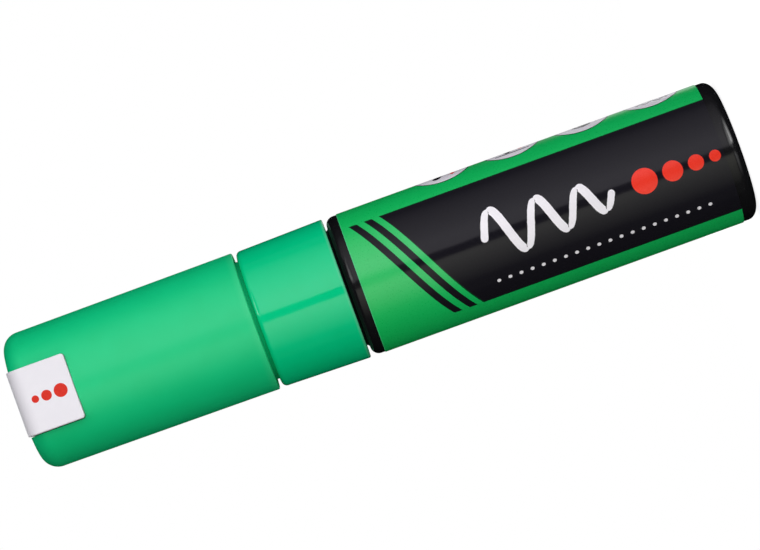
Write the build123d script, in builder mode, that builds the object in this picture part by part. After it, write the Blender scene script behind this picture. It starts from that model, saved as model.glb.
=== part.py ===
from build123d import *
import os
from math import cos, hypot, pi, sin, sqrt

# Broad-tip liquid chalk marker with its cap on, standing on its tail.
# Millimetres. +Z runs along the axis from the tail to the cap's closed end, the origin is the centre of the
# tail's flat end, and the white tab on the cap faces -Y.

# Largest share of a wall or step that the rounds on it may take
round_limit = 0.96

# How closely an edge must match a height or radius to be picked by it
pick_tolerance = 0.001

# Barrel: black tube with a bottle shoulder and a neck for the front holder
barrel_diameter = 27.36
barrel_wall = 1.3
barrel_body_height = 74.25
shoulder_wall = 1.4
shoulder_round = 1.65
neck_root_round = 0.5
neck_wall = 1.43
neck_height = 14.15
snap_bead_radius = 0.5
snap_bead_drop = 6.0

# Printed film round the barrel
label_film = 0.1
label_glue = 0.02
label_tail_margin = 0.1
label_shoulder_margin = 2.4

# Tail plug: end with an elliptical edge, a hollow spigot and two sealing beads
tail_height = 3.3
tail_curve_height = 2.25
tail_curve_width = 3.1
tail_inset = 0.03
plug_floor = 1.6
plug_wall = 1.2
plug_spigot_height = 6.5
plug_clearance = 0.15
plug_bead_radius = 0.4
plug_bead_clearance = 0.02
plug_first_bead = 1.6
plug_bead_pitch = 2.5
plug_lead_in = 0.5

# Front holder: collar, cap seat and nose in one moulding
collar_proud = 0.14
collar_flare = 0.38
collar_wall = 2.29
collar_clearance = 0.1
collar_gap = 0.47
collar_deck = 1.9
collar_front_step = 1.75
collar_front_round = 1.0
collar_face_draft = 0.25
collar_edge_round = 0.32
cap_seat_height = 10.6
cap_seat_wall = 1.69
cap_seat_lead_in = 0.5
click_groove_depth = 0.25
click_groove_drop = 3.2
chamber_roof = 1.6
nose_step = 2.49
nose_land_height = 5.0
nose_cone_height = 7.3
nose_tip_wall = 1.45
nose_tip_round = 0.7

# Nib: felt bar with a slanted chisel end
nib_width = 8.4
nib_thickness = 5.0
nib_corner = 0.8
nib_exposed = 9.5
nib_clearance = 0.15
nib_slant_drop = 2.4
nib_bevel_height = 5.0
nib_edge = 2.0

# Valve: cup with the seat, sprung stem with its seal, and the perforated disc that carries the spring
gasket_thickness = 0.8
valve_flange = 1.2
valve_clearance = 0.2
valve_wall = 1.5
valve_well_depth = 4.5
valve_web = 1.6
valve_travel = 2.0
stem_fin_reach = 2.7
stem_fin_thickness = 1.0
stem_clearance = 0.2
seal_thickness = 0.8
seal_land = 2.1
stem_head_thickness = 1.6
stem_head_chamfer = 0.5
guide_pin_length = 4.0
cup_floor = 1.5
cup_depth = 3.5
cup_wall = 1.1
cup_ground_clearance = 0.8
spring_length = 11.5
spring_radius = 2.9
spring_wire = 0.6
spring_turns = 6
spring_seat_gap = 0.02
spring_guide_clearance = 0.5
cage_thickness = 1.5
cage_clearance = 0.05
cage_boss_height = 1.8
cage_window_radius = 1.5
cage_window_count = 6

# Mixing balls, side by side on the plug's floor
ball_diameter = 6.5
ball_spacing_gap = 0.2
ball_floor_gap = 0.1

# Cap shell: thin mouth, ribs that stop on the cap seat, boss over the inner cap, pocket for the tab
cap_gap = 0.55
cap_clearance = 0.25
cap_mouth_wall = 1.66
cap_mouth_round = 0.3
cap_draft = 0.27
cap_round = 3.4
cap_end_wall = 2.2
cap_side_wall = 1.9
cap_inner_round = 1.5
cap_headspace = 6.82
cap_boss_diameter = 8.0
cap_rib_count = 6
cap_rib_thickness = 1.2
cap_rib_root = 0.4
cap_rib_clearance = 0.05
click_bead_clearance = 0.08
click_bead_radius = 0.5

# Inner cap: soft liner that seals round the nose
liner_clearance = 0.1
liner_wall = 1.1
liner_rim_gap = 0.4
liner_cone_lift = 0.5
liner_nose_gap = 0.4
liner_headroom = 4.7

# White tab: flat on the cap's side and turned over its end, held by a peg in the boss
tab_width = 12.5
tab_length = 11.3
tab_thickness = 1.2
tab_proud = 0.18
tab_reach = 3.2
tab_round = 2.9
tab_corner_round = 0.5
tab_edge_round = 0.25
tab_gap = 0.2
tab_seat_gap = 0.05
tab_pocket_wall = 1.0
tab_peg_diameter = 3.2
tab_peg_length = 4.0
tab_peg_clearance = 0.05

# Radii, worked out from the barrel outwards and inwards
barrel_r = barrel_diameter / 2
barrel_bore_r = barrel_r - barrel_wall
label_bore_r = barrel_r + label_glue
label_r = label_bore_r + label_film
tail_r = barrel_r - tail_inset
spigot_r = barrel_bore_r - plug_clearance
plug_bore_r = spigot_r - plug_wall
collar_rear_r = barrel_r + collar_proud
collar_front_r = collar_rear_r - collar_flare
skirt_bore_r = collar_rear_r - collar_wall
neck_r = skirt_bore_r - collar_clearance
neck_bore_r = neck_r - neck_wall
cap_seat_r = collar_front_r - collar_front_step
chamber_r = cap_seat_r - cap_seat_wall
nose_r = cap_seat_r - nose_step
nose_tip_r = hypot(nib_width, nib_thickness) / 2 + nib_clearance + nose_tip_wall
valve_r = neck_bore_r - valve_clearance
valve_bore_r = valve_r - valve_wall
stem_hole_r = stem_fin_reach + stem_clearance
stem_head_r = stem_hole_r + seal_land
spring_guide_r = spring_radius - spring_wire / 2 - spring_guide_clearance
cage_r = valve_bore_r - cage_clearance
cap_bore_r = cap_seat_r + cap_clearance
cap_mouth_r = cap_bore_r + cap_mouth_wall
cap_end_r = cap_mouth_r - cap_draft
cap_end_bore_r = cap_end_r - cap_side_wall
liner_bore_r = nose_r + liner_clearance
liner_r = liner_bore_r + liner_wall
liner_tip_bore_r = nose_tip_r + liner_nose_gap
liner_tip_r = liner_tip_bore_r + liner_wall
tab_face_y = sqrt(cap_end_r**2 - (tab_width / 2) ** 2)
tab_floor_y = tab_face_y - tab_thickness
tab_inner_round = max(tab_round - tab_thickness, tab_edge_round)
ball_r = ball_diameter / 2

# Heights above the tail
seam_z = tail_height
shoulder_z = seam_z + barrel_body_height
rim_z = shoulder_z + neck_height
flange_z = rim_z + gasket_thickness
deck_z = flange_z + valve_flange
collar_z = deck_z + collar_deck
skirt_z = shoulder_z + collar_gap
snap_z = rim_z - snap_bead_drop
label_z = seam_z + label_tail_margin
label_top_z = shoulder_z - label_shoulder_margin
seat_z = collar_z + cap_seat_height
click_z = seat_z - click_groove_drop
chamber_top_z = seat_z - chamber_roof
land_z = seat_z + nose_land_height
nose_z = land_z + nose_cone_height
tip_z = nose_z + nib_exposed
web_top_z = deck_z - valve_well_depth
web_z = web_top_z - valve_web
stem_head_top_z = web_z - seal_thickness
stem_head_z = stem_head_top_z - stem_head_thickness
cage_top_z = stem_head_z - spring_length
cage_z = cage_top_z - cage_thickness
cup_z = deck_z + valve_travel + cup_ground_clearance
nib_z = cup_z + cup_floor
cup_top_z = nib_z + cup_depth
mouth_z = collar_z + cap_gap
liner_rim_z = seat_z + liner_rim_gap
liner_roof_z = tip_z + liner_headroom
liner_top_z = liner_roof_z + liner_wall
cap_roof_z = liner_top_z + cap_headspace
cap_z = cap_roof_z + cap_end_wall
tab_top_z = cap_z + tab_proud
tab_z = tab_top_z - tab_length
tab_floor_z = tab_top_z - tab_thickness


def rim(builder, radius, height):
    """The circular edges of a part that have this radius and lie at this height."""
    circles = builder.edges().filter_by(GeomType.CIRCLE)
    level = circles.filter_by(lambda edge: abs(edge.arc_center.Z - height) < pick_tolerance)
    return level.filter_by(lambda edge: abs(edge.radius - radius) < pick_tolerance)


# Barrel
with BuildPart() as barrel:
    with BuildSketch(Plane.XY.offset(seam_z)):
        Circle(barrel_r)
    extrude(amount=barrel_body_height)
    with BuildSketch(Plane.XY.offset(shoulder_z)):
        Circle(neck_r)
    extrude(amount=neck_height)
    shoulder_step = barrel_r - neck_r
    round_share = min(1, round_limit * shoulder_step / (shoulder_round + neck_root_round))
    fillet(rim(barrel, barrel_r, shoulder_z), radius=shoulder_round * round_share)
    fillet(rim(barrel, neck_r, shoulder_z), radius=neck_root_round * round_share)
    with Locations((0, 0, snap_z)):
        Torus(neck_r, snap_bead_radius)
    with BuildSketch(Plane.XY.offset(seam_z)):
        Circle(barrel_bore_r)
    extrude(amount=barrel_body_height - shoulder_wall, mode=Mode.SUBTRACT)
    with BuildSketch(Plane.XY.offset(seam_z)):
        Circle(neck_bore_r)
    extrude(amount=rim_z - seam_z, mode=Mode.SUBTRACT)

# Printed film
with BuildPart() as barrel_label:
    with BuildSketch(Plane.XY.offset(label_z)):
        Circle(label_r)
        Circle(label_bore_r, mode=Mode.SUBTRACT)
    extrude(amount=label_top_z - label_z)

# Tail plug
with BuildPart() as tail_plug:
    curve_height = min(tail_curve_height, round_limit * tail_height)
    with BuildSketch(Plane.XZ):
        with BuildLine():
            curve = EllipticalCenterArc(
                (tail_r - tail_curve_width, curve_height), tail_curve_width, curve_height,
                start_angle=-90, arc_size=90,
            )
            Polyline(curve @ 1, (tail_r, tail_height), (0, tail_height), (0, 0), curve @ 0)
        make_face()
    revolve(axis=Axis.Z)
    with BuildSketch(Plane.XY.offset(seam_z)):
        Circle(spigot_r)
    extrude(amount=plug_spigot_height)
    chamfer(rim(tail_plug, spigot_r, seam_z + plug_spigot_height), length=min(plug_lead_in, plug_wall / 2))
    first_bead_z = seam_z + plug_first_bead
    with Locations((0, 0, first_bead_z), (0, 0, first_bead_z + plug_bead_pitch)):
        Torus(barrel_bore_r - plug_bead_clearance - plug_bead_radius, plug_bead_radius)
    with BuildSketch(Plane.XY.offset(plug_floor)):
        Circle(plug_bore_r)
    extrude(amount=seam_z + plug_spigot_height - plug_floor, mode=Mode.SUBTRACT)

# Front holder
with BuildPart() as front_holder:
    with BuildSketch(Plane.XZ):
        with BuildLine():
            Polyline(
                (0, skirt_z),
                (collar_rear_r, skirt_z),
                (collar_front_r, collar_z - collar_face_draft),
                (cap_seat_r, collar_z),
                (cap_seat_r, seat_z),
                (nose_r, seat_z),
                (nose_r, land_z),
                (nose_tip_r, nose_z),
                (0, nose_z),
                close=True,
            )
        make_face()
    revolve(axis=Axis.Z)
    front_edge = rim(front_holder, collar_front_r, collar_z - collar_face_draft)
    fillet(front_edge, radius=min(collar_front_round, round_limit * collar_front_step))
    fillet(rim(front_holder, collar_rear_r, skirt_z), radius=collar_edge_round)
    chamfer(rim(front_holder, cap_seat_r, seat_z), length=cap_seat_lead_in)
    fillet(rim(front_holder, nose_tip_r, nose_z), radius=min(nose_tip_round, nose_tip_wall / 2))
    with Locations((0, 0, click_z)):
        Torus(cap_seat_r + click_bead_radius - click_groove_depth, click_bead_radius, mode=Mode.SUBTRACT)
    with BuildSketch(Plane.XY.offset(skirt_z)):
        Circle(skirt_bore_r)
    extrude(amount=deck_z - skirt_z, mode=Mode.SUBTRACT)
    with Locations((0, 0, snap_z)):
        Torus(neck_r, snap_bead_radius + collar_clearance, mode=Mode.SUBTRACT)
    with BuildSketch(Plane.XY.offset(deck_z)):
        Circle(chamber_r)
    extrude(amount=chamber_top_z - deck_z, mode=Mode.SUBTRACT)
    with BuildSketch(Plane.XY.offset(chamber_top_z)):
        RectangleRounded(
            nib_width + 2 * nib_clearance, nib_thickness + 2 * nib_clearance, nib_corner + nib_clearance
        )
    extrude(amount=nose_z - chamber_top_z, mode=Mode.SUBTRACT)

# Neck gasket
with BuildPart() as neck_gasket:
    with BuildSketch(Plane.XY.offset(rim_z)):
        Circle(neck_r)
        Circle(neck_bore_r, mode=Mode.SUBTRACT)
    extrude(amount=gasket_thickness)

# Valve body
with BuildPart() as valve_body:
    with BuildSketch(Plane.XY.offset(cage_z)):
        Circle(valve_r)
    extrude(amount=flange_z - cage_z)
    with BuildSketch(Plane.XY.offset(flange_z)):
        Circle(neck_r)
    extrude(amount=valve_flange)
    with BuildSketch(Plane.XY.offset(web_top_z)):
        Circle(valve_bore_r)
    extrude(amount=valve_well_depth, mode=Mode.SUBTRACT)
    with BuildSketch(Plane.XY.offset(cage_z)):
        Circle(valve_bore_r)
    extrude(amount=web_z - cage_z, mode=Mode.SUBTRACT)
    with BuildSketch(Plane.XY.offset(web_z)):
        Circle(stem_hole_r)
    extrude(amount=valve_web, mode=Mode.SUBTRACT)

# Valve cage
with BuildPart() as valve_cage:
    with BuildSketch(Plane.XY.offset(cage_z)):
        Circle(cage_r)
        with PolarLocations((spring_radius + cage_r) / 2, cage_window_count):
            Circle(cage_window_radius, mode=Mode.SUBTRACT)
    extrude(amount=cage_thickness)
    with BuildSketch(Plane.XY.offset(cage_top_z)):
        Circle(spring_guide_r)
    extrude(amount=cage_boss_height)

# Valve stem: guide pin, head, cross-shaped shaft and the cup under the nib
with BuildPart() as valve_stem:
    with BuildSketch(Plane.XY.offset(stem_head_z - guide_pin_length)):
        Circle(spring_guide_r)
    extrude(amount=guide_pin_length)
    with BuildSketch(Plane.XY.offset(stem_head_z)):
        Circle(stem_head_r)
    extrude(amount=stem_head_thickness)
    chamfer(rim(valve_stem, stem_head_r, stem_head_z), length=stem_head_chamfer)
    with BuildSketch(Plane.XY.offset(stem_head_top_z)):
        Rectangle(2 * stem_fin_reach, stem_fin_thickness)
        Rectangle(stem_fin_thickness, 2 * stem_fin_reach)
    extrude(amount=cup_z - stem_head_top_z)
    with BuildSketch(Plane.XY.offset(cup_z)):
        RectangleRounded(
            nib_width + 2 * (nib_clearance + cup_wall),
            nib_thickness + 2 * (nib_clearance + cup_wall),
            nib_corner + nib_clearance + cup_wall,
        )
    extrude(amount=cup_top_z - cup_z)
    with BuildSketch(Plane.XY.offset(nib_z)):
        RectangleRounded(
            nib_width + 2 * nib_clearance, nib_thickness + 2 * nib_clearance, nib_corner + nib_clearance
        )
    extrude(amount=cup_depth, mode=Mode.SUBTRACT)

# Valve seal
with BuildPart() as valve_seal:
    with BuildSketch(Plane.XY.offset(stem_head_top_z)):
        Circle(stem_head_r)
        Circle(stem_hole_r, mode=Mode.SUBTRACT)
    extrude(amount=seal_thickness)

# Valve spring: one wire wound between the cage and the stem's head
spring_pitch = (spring_length - spring_wire - 2 * spring_seat_gap) / spring_turns
spring_start_z = cage_top_z + spring_seat_gap + spring_wire / 2


def coil_point(turn):
    """Centre of the wire after a number of turns."""
    angle = 2 * pi * turn
    height = spring_start_z + spring_pitch * turn
    return Vector(spring_radius * cos(angle), spring_radius * sin(angle), height)


def coil_direction(turn):
    """Direction of the wire after a number of turns."""
    angle = 2 * pi * turn
    along = 2 * pi * spring_radius
    return Vector(-along * sin(angle), along * cos(angle), spring_pitch).normalized()


def coil_biarc(turn, next_turn):
    """Two tangent arcs that follow the coil from one point to the next."""
    start, end = coil_point(turn), coil_point(next_turn)
    leave, arrive = coil_direction(turn), coil_direction(next_turn)
    chord = end - start
    both = leave + arrive
    bend = 2 * (1 - leave.dot(arrive))
    reach = (sqrt(chord.dot(both) ** 2 + bend * chord.dot(chord)) - chord.dot(both)) / bend
    first_knee, second_knee = start + leave * reach, end - arrive * reach
    middle = (first_knee + second_knee) * 0.5
    TangentArc(start, middle, tangent=leave)
    TangentArc(middle, end, tangent=second_knee - first_knee)


def least_coil_gap(samples_per_turn=36):
    """Smallest space between one turn of the wire and the rest, measured on points."""
    count = spring_turns * samples_per_turn
    points = [coil_point(i / samples_per_turn) for i in range(count + 1)]
    apart = samples_per_turn // 2
    pairs = ((a, b) for i, a in enumerate(points) for b in points[i + apart:])
    return min((a - b).length for a, b in pairs) - spring_wire


with BuildPart() as valve_spring:
    with BuildLine():
        for quarter in range(4 * spring_turns):
            coil_biarc(quarter / 4, (quarter + 1) / 4)
    with BuildSketch(Plane(origin=coil_point(0), z_dir=coil_direction(0))):
        Circle(spring_wire / 2)
    sweep()
print(f"valve spring: {spring_turns} turns, least gap {least_coil_gap():.2f} mm")

# Nib: bar cut to a slant across its width, then bevelled on both broad faces
with BuildPart() as nib:
    with BuildSketch(Plane.XY.offset(nib_z)):
        RectangleRounded(nib_width, nib_thickness, nib_corner)
    extrude(amount=tip_z - nib_z)
    with BuildSketch(Plane.XZ):
        with BuildLine():
            Polyline(
                (-nib_width / 2, tip_z - nib_slant_drop),
                (nib_width / 2, tip_z),
                (-nib_width / 2, tip_z),
                close=True,
            )
        make_face()
    extrude(amount=nib_thickness, both=True, mode=Mode.SUBTRACT)
    with BuildSketch(Plane.YZ):
        with BuildLine():
            Polyline(
                (nib_thickness / 2, tip_z - nib_bevel_height),
                (nib_thickness / 2, tip_z),
                (nib_edge / 2, tip_z),
                close=True,
            )
        make_face()
        mirror(about=Plane.YZ)
    extrude(amount=nib_width, both=True, mode=Mode.SUBTRACT)

# Mixing balls
with BuildPart() as mixing_balls:
    ball_x = ball_r + ball_spacing_gap / 2
    ball_z = plug_floor + ball_floor_gap + ball_r
    with Locations((-ball_x, 0, ball_z), (ball_x, 0, ball_z)):
        Sphere(ball_r)

# Cap shell
with BuildPart() as cap_shell:
    with BuildSketch(Plane.XZ):
        with BuildLine():
            Polyline((0, mouth_z), (cap_mouth_r, mouth_z), (cap_end_r, cap_z), (0, cap_z), close=True)
        make_face()
    revolve(axis=Axis.Z)
    fillet(rim(cap_shell, cap_end_r, cap_z), radius=cap_round)
    fillet(rim(cap_shell, cap_mouth_r, mouth_z), radius=cap_mouth_round)
    with BuildSketch(Plane.XZ) as cap_hollow:
        with BuildLine():
            Polyline(
                (0, mouth_z),
                (cap_bore_r, mouth_z),
                (cap_bore_r, seat_z),
                (cap_end_bore_r, cap_roof_z),
                (0, cap_roof_z),
                close=True,
            )
        make_face()
        roof_corner = cap_hollow.vertices().sort_by_distance((cap_end_bore_r, cap_roof_z))[0]
        fillet(roof_corner, radius=cap_inner_round)
    revolve(axis=Axis.Z, mode=Mode.SUBTRACT)
    with Locations((0, 0, click_z)):
        Torus(cap_seat_r + click_bead_clearance + click_bead_radius, click_bead_radius)
    with BuildSketch(Plane.XY.offset(seat_z)):
        rib_start_r = liner_r + cap_rib_clearance
        rib_end_r = cap_bore_r + cap_rib_root
        with PolarLocations((rib_start_r + rib_end_r) / 2, cap_rib_count):
            Rectangle(rib_end_r - rib_start_r, cap_rib_thickness)
    extrude(amount=cap_roof_z - seat_z)
    with BuildSketch(Plane.XY.offset(liner_top_z)):
        Circle(cap_boss_diameter / 2)
    extrude(amount=cap_headspace)
    pocket_z = tab_z - tab_gap
    pocket_floor_y = tab_floor_y - tab_seat_gap
    pocket_half_width = tab_width / 2 + tab_gap
    with BuildSketch(Plane.XY.offset(pocket_z - tab_pocket_wall)):
        Circle(cap_end_r - cap_side_wall / 2)
        with Locations((0, tab_pocket_wall - pocket_floor_y)):
            Rectangle(
                2 * (pocket_half_width + tab_pocket_wall), cap_end_r, align=(Align.CENTER, Align.MAX),
                mode=Mode.INTERSECT,
            )
    extrude(amount=cap_roof_z - pocket_z + tab_pocket_wall)
    with BuildSketch(Plane.YZ) as tab_pocket:
        with BuildLine():
            Polyline(
                (-cap_mouth_r, pocket_z),
                (-pocket_floor_y, pocket_z),
                (-pocket_floor_y, tab_floor_z - tab_seat_gap),
                (tab_reach + tab_gap, tab_floor_z - tab_seat_gap),
                (tab_reach + tab_gap, tab_top_z),
                (-cap_mouth_r, tab_top_z),
                close=True,
            )
        make_face()
        pocket_corner = (-pocket_floor_y, tab_floor_z - tab_seat_gap)
        fillet(tab_pocket.vertices().sort_by_distance(pocket_corner)[0], radius=tab_inner_round)
    extrude(amount=pocket_half_width, both=True, mode=Mode.SUBTRACT)
    radial_edges = cap_shell.edges().filter_by(Axis.Y)
    pocket_corners = radial_edges.filter_by(lambda edge: abs(edge.center().Z - pocket_z) < pick_tolerance)
    fillet(pocket_corners, radius=tab_corner_round + tab_gap)
    with BuildSketch(Plane.XY.offset(tab_floor_z)):
        Circle(tab_peg_diameter / 2 + tab_peg_clearance)
    extrude(amount=-tab_peg_length - tab_peg_clearance, mode=Mode.SUBTRACT)

# Inner cap
with BuildPart() as inner_cap:
    with BuildSketch(Plane.XZ):
        with BuildLine():
            Polyline(
                (liner_bore_r, liner_rim_z),
                (liner_r, liner_rim_z),
                (liner_r, land_z + liner_cone_lift),
                (liner_tip_r, nose_z + liner_cone_lift),
                (liner_tip_r, liner_top_z),
                (0, liner_top_z),
                (0, liner_roof_z),
                (liner_tip_bore_r, liner_roof_z),
                (liner_tip_bore_r, nose_z + liner_cone_lift),
                (liner_bore_r, land_z + liner_cone_lift),
                close=True,
            )
        make_face()
    revolve(axis=Axis.Z)

# White tab
with BuildPart() as cap_tab:
    with BuildSketch(Plane.YZ) as tab_profile:
        with BuildLine():
            Polyline(
                (-tab_face_y, tab_z),
                (-tab_floor_y, tab_z),
                (-tab_floor_y, tab_floor_z),
                (tab_reach, tab_floor_z),
                (tab_reach, tab_top_z),
                (-tab_face_y, tab_top_z),
                close=True,
            )
        make_face()
        outer_corner = tab_profile.vertices().sort_by_distance((-tab_face_y, tab_top_z))[0]
        fillet(outer_corner, radius=tab_round)
        inner_corner = tab_profile.vertices().sort_by_distance((-tab_floor_y, tab_floor_z))[0]
        fillet(inner_corner, radius=tab_inner_round)
    extrude(amount=tab_width / 2, both=True)
    mouth_corners = cap_tab.edges().filter_by(Axis.Y).group_by(Axis.Z)[0]
    fillet(mouth_corners, radius=tab_corner_round)
    outside = cap_tab.faces().filter_by(lambda face: face.normal_at().Y < -0.5 or face.normal_at().Z > 0.5)
    side_edges = outside.edges().filter_by(lambda edge: abs(edge.center().X) > tab_width / 4)
    lower_edge = outside.edges().sort_by(Axis.Z)[0]
    far_edge = outside.edges().sort_by(Axis.Y)[-1]
    fillet(side_edges + [lower_edge, far_edge], radius=tab_edge_round)
    with BuildSketch(Plane.XY.offset(tab_floor_z)):
        Circle(tab_peg_diameter / 2)
    extrude(amount=-tab_peg_length)

pieces = {
    "tail_plug": tail_plug,
    "barrel": barrel,
    "barrel_label": barrel_label,
    "mixing_balls": mixing_balls,
    "valve_cage": valve_cage,
    "valve_spring": valve_spring,
    "valve_stem": valve_stem,
    "valve_seal": valve_seal,
    "valve_body": valve_body,
    "neck_gasket": neck_gasket,
    "front_holder": front_holder,
    "nib": nib,
    "cap_shell": cap_shell,
    "inner_cap": inner_cap,
    "cap_tab": cap_tab,
}
os.makedirs("parts", exist_ok=True)
for name, piece in pieces.items():
    piece.part.label = name
    export_step(piece.part, f"parts/{name}.step")
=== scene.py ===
from math import cos, pi, radians, sin, sqrt, tan

import bpy
from mathutils import Matrix, Vector
from mathutils.geometry import delaunay_2d_cdt


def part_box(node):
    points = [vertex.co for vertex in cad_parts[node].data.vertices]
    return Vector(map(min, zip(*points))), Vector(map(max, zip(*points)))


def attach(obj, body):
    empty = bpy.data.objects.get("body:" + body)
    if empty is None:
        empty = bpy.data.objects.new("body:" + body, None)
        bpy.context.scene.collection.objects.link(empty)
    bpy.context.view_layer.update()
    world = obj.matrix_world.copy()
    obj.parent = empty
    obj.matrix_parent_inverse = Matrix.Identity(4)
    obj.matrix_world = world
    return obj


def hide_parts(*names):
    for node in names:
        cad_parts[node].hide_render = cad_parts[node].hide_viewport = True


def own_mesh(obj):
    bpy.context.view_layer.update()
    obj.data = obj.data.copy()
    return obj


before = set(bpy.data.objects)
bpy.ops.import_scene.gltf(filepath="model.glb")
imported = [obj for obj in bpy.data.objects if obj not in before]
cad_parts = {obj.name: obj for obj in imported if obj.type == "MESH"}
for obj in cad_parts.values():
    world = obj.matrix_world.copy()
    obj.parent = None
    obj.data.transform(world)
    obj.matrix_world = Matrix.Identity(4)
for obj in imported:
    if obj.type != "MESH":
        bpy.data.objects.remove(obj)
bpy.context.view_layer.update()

# Barrel
# A black tube with a bottle shoulder and a neck, injection-moulded in ABS from a polished tool.
# The label covers its straight wall, so little more than the shoulder and a part of the neck shows.
MM = 0.001


def linear(hex_colour):
    """Linear RGBA of an sRGB colour written as #RRGGBB."""
    channels = [int(hex_colour[i:i + 2], 16) / 255 for i in (1, 3, 5)]
    return [c / 12.92 if c <= 0.04045 else ((c + 0.055) / 1.055) ** 2.4 for c in channels] + [1]


def add_node(tree, kind, inputs=None, **settings):
    """Adds a node, sets its properties, and sets each input or links it where an output socket is given."""
    added = tree.nodes.new(kind)
    for name, value in settings.items():
        setattr(added, name, value)
    for name, value in (inputs or {}).items():
        if isinstance(value, bpy.types.NodeSocket):
            tree.links.new(value, added.inputs[name])
        else:
            added.inputs[name].default_value = value
    return added


def noise(tree, place, size, detail):
    """A pattern of soft lumps of about one size, from 0 to 1."""
    inputs = {"Vector": place, "Scale": 1 / size, "Detail": detail}
    return add_node(tree, "ShaderNodeTexNoise", inputs).outputs["Fac"]


def remap(tree, value, low, high, start=0.0, end=1.0):
    """A value that goes from low to high while the given one goes from start to end."""
    inputs = {"Value": value, "From Min": start, "From Max": end, "To Min": low, "To Max": high}
    return add_node(tree, "ShaderNodeMapRange", inputs).outputs["Result"]


def blend(tree, share, first, second):
    """The first colour, with a share of the second."""
    inputs = {0: share, 6: first, 7: second}
    return add_node(tree, "ShaderNodeMix", inputs, data_type="RGBA").outputs[2]


def relief(tree, height, strength, depth):
    """A surface that rises and falls with a pattern."""
    inputs = {"Height": height, "Strength": strength, "Distance": depth}
    return add_node(tree, "ShaderNodeBump", inputs).outputs["Normal"]


def start_material(name):
    """An empty material, its node tree, and the place on the piece in metres."""
    material = bpy.data.materials.new(name)
    material.use_nodes = True
    material.node_tree.nodes.clear()
    place = add_node(material.node_tree, "ShaderNodeTexCoord").outputs["Object"]
    return material, material.node_tree, place


def close_material(tree, surface_inputs):
    """Ends a material in one surface shader."""
    surface = add_node(tree, "ShaderNodeBsdfPrincipled", surface_inputs)
    add_node(tree, "ShaderNodeOutputMaterial", {"Surface": surface.outputs["BSDF"]})


def dress(node_name, material):
    """Gives a CAD node its finish."""
    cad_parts[node_name].data.materials[0] = material


# Moulded black ABS, polished: a deep black with hard glints, faintly hazed where it has been handled
black_abs, tree, place = start_material("black_abs_polished")
haze = noise(tree, place, 5 * MM, 4)
# Handling dust, drawn as 0.2 mm specks so that it shows at all
dust = remap(tree, noise(tree, place, 0.2 * MM, 2), 0.0, 0.5, start=0.62, end=0.8)
close_material(tree, {
    "Base Color": blend(tree, dust, linear("#121214"), linear("#2A2A2C")),
    "Roughness": remap(tree, haze, 0.11, 0.19),
    "IOR": 1.54,
    "Specular IOR Level": 0.2,
})
dress("barrel", black_abs)

# Barrel label
# A printed polypropylene film, wrapped once round the barrel. Its end laps over its start at the back.
# It is laid out flat, in mm: "along" runs from its front edge to the tail, "around" goes round the barrel.
label_low, label_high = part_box("barrel_label")
label_radius = label_high.x / MM
label_front = label_high.z / MM
label_length = (label_high.z - label_low.z) / MM
film = 0.08
film_lift = 0.005
lap_place = radians(225)
lap_angle = 0.23
lap_ramp = 0.07
turn_step = radians(2.5)
cut_margin = 0.12

film_inks = ["green", "overprint", "black", "white", "red", "bare"]
ink_shapes = []


def film_height(angle):
    """Outer radius of the film, which climbs over its own start at the lap."""
    climb = (angle - (lap_place - lap_angle - lap_ramp)) / lap_ramp
    climb = min(max(climb, 0), 1)
    return label_radius + climb * climb * (3 - 2 * climb) * (film + film_lift)


def print_shape(ink, outline):
    """Adds a closed outline of an ink, over what is printed already, turning anticlockwise."""
    points = [Vector(point) for point in outline]
    turning = sum(a.cross(b) for a, b in zip(points, points[1:] + points[:1]))
    ink_shapes.append((film_inks.index(ink), points if turning > 0 else points[::-1]))


def disc(centre, diameter, steps=72):
    """Outline of a round dot."""
    turns = (2 * pi * i / steps for i in range(steps))
    return [(centre[0] + diameter / 2 * cos(a), centre[1] + diameter / 2 * sin(a)) for a in turns]


def stroke(line, widths, cap_steps=6):
    """Outline of a drawn line with a width at each point and round ends."""
    count = len(line)
    left, right, ends = [], [], []
    for i in range(count):
        before, after = line[max(i - 1, 0)], line[min(i + 1, count - 1)]
        step = Vector(after) - Vector(before)
        step.normalize()
        side = Vector((-step.y, step.x)) * widths[i] / 2
        left.append(Vector(line[i]) + side)
        right.append(Vector(line[i]) - side)
        ends.append((step, side))
    finish_step, finish_side = ends[-1]
    start_step, start_side = ends[0]
    half_turn = [pi * j / cap_steps for j in range(1, cap_steps)]
    finish_cap = [
        Vector(line[-1]) + finish_side * cos(a) + finish_step * sin(a) * widths[-1] / 2 for a in half_turn
    ]
    start_cap = [
        Vector(line[0]) - start_side * cos(a) - start_step * sin(a) * widths[0] / 2 for a in half_turn
    ]
    return left + finish_cap + right[::-1] + start_cap


def rectangle(along_start, around_start, along_end, around_end):
    """Outline of a rectangle."""
    corners = [(along_start, around_start), (along_end, around_start)]
    return corners + [(along_end, around_end), (along_start, around_end)]


# Ground: the whole sheet, with an unprinted margin along its front edge and its two ends
sheet_start = (lap_place - lap_angle - 2 * pi) * label_radius
sheet_end = lap_place * label_radius
print_shape("bare", rectangle(0, sheet_start, label_length, sheet_end))
print_shape(
    "green",
    rectangle(cut_margin, sheet_start + cut_margin, label_length, sheet_end - 2 * cut_margin),
)

# Black panel with a slanted front, and two slanted stripes ahead of it
panel_top, panel_bottom = 11.6, -13.2
panel_front_top, panel_front_bottom = 7.6, 20.6
panel_trap = 0.16
stripe_width, stripe_pitch, stripe_count = 1.5, 3.0, 2


def slanted(front_shift, width):
    """Outline of a band whose front edge is parallel to the panel's."""
    return [
        (panel_front_top + front_shift, panel_top),
        (panel_front_bottom + front_shift, panel_bottom),
        (panel_front_bottom + front_shift + width, panel_bottom),
        (panel_front_top + front_shift + width, panel_top),
    ]


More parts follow.
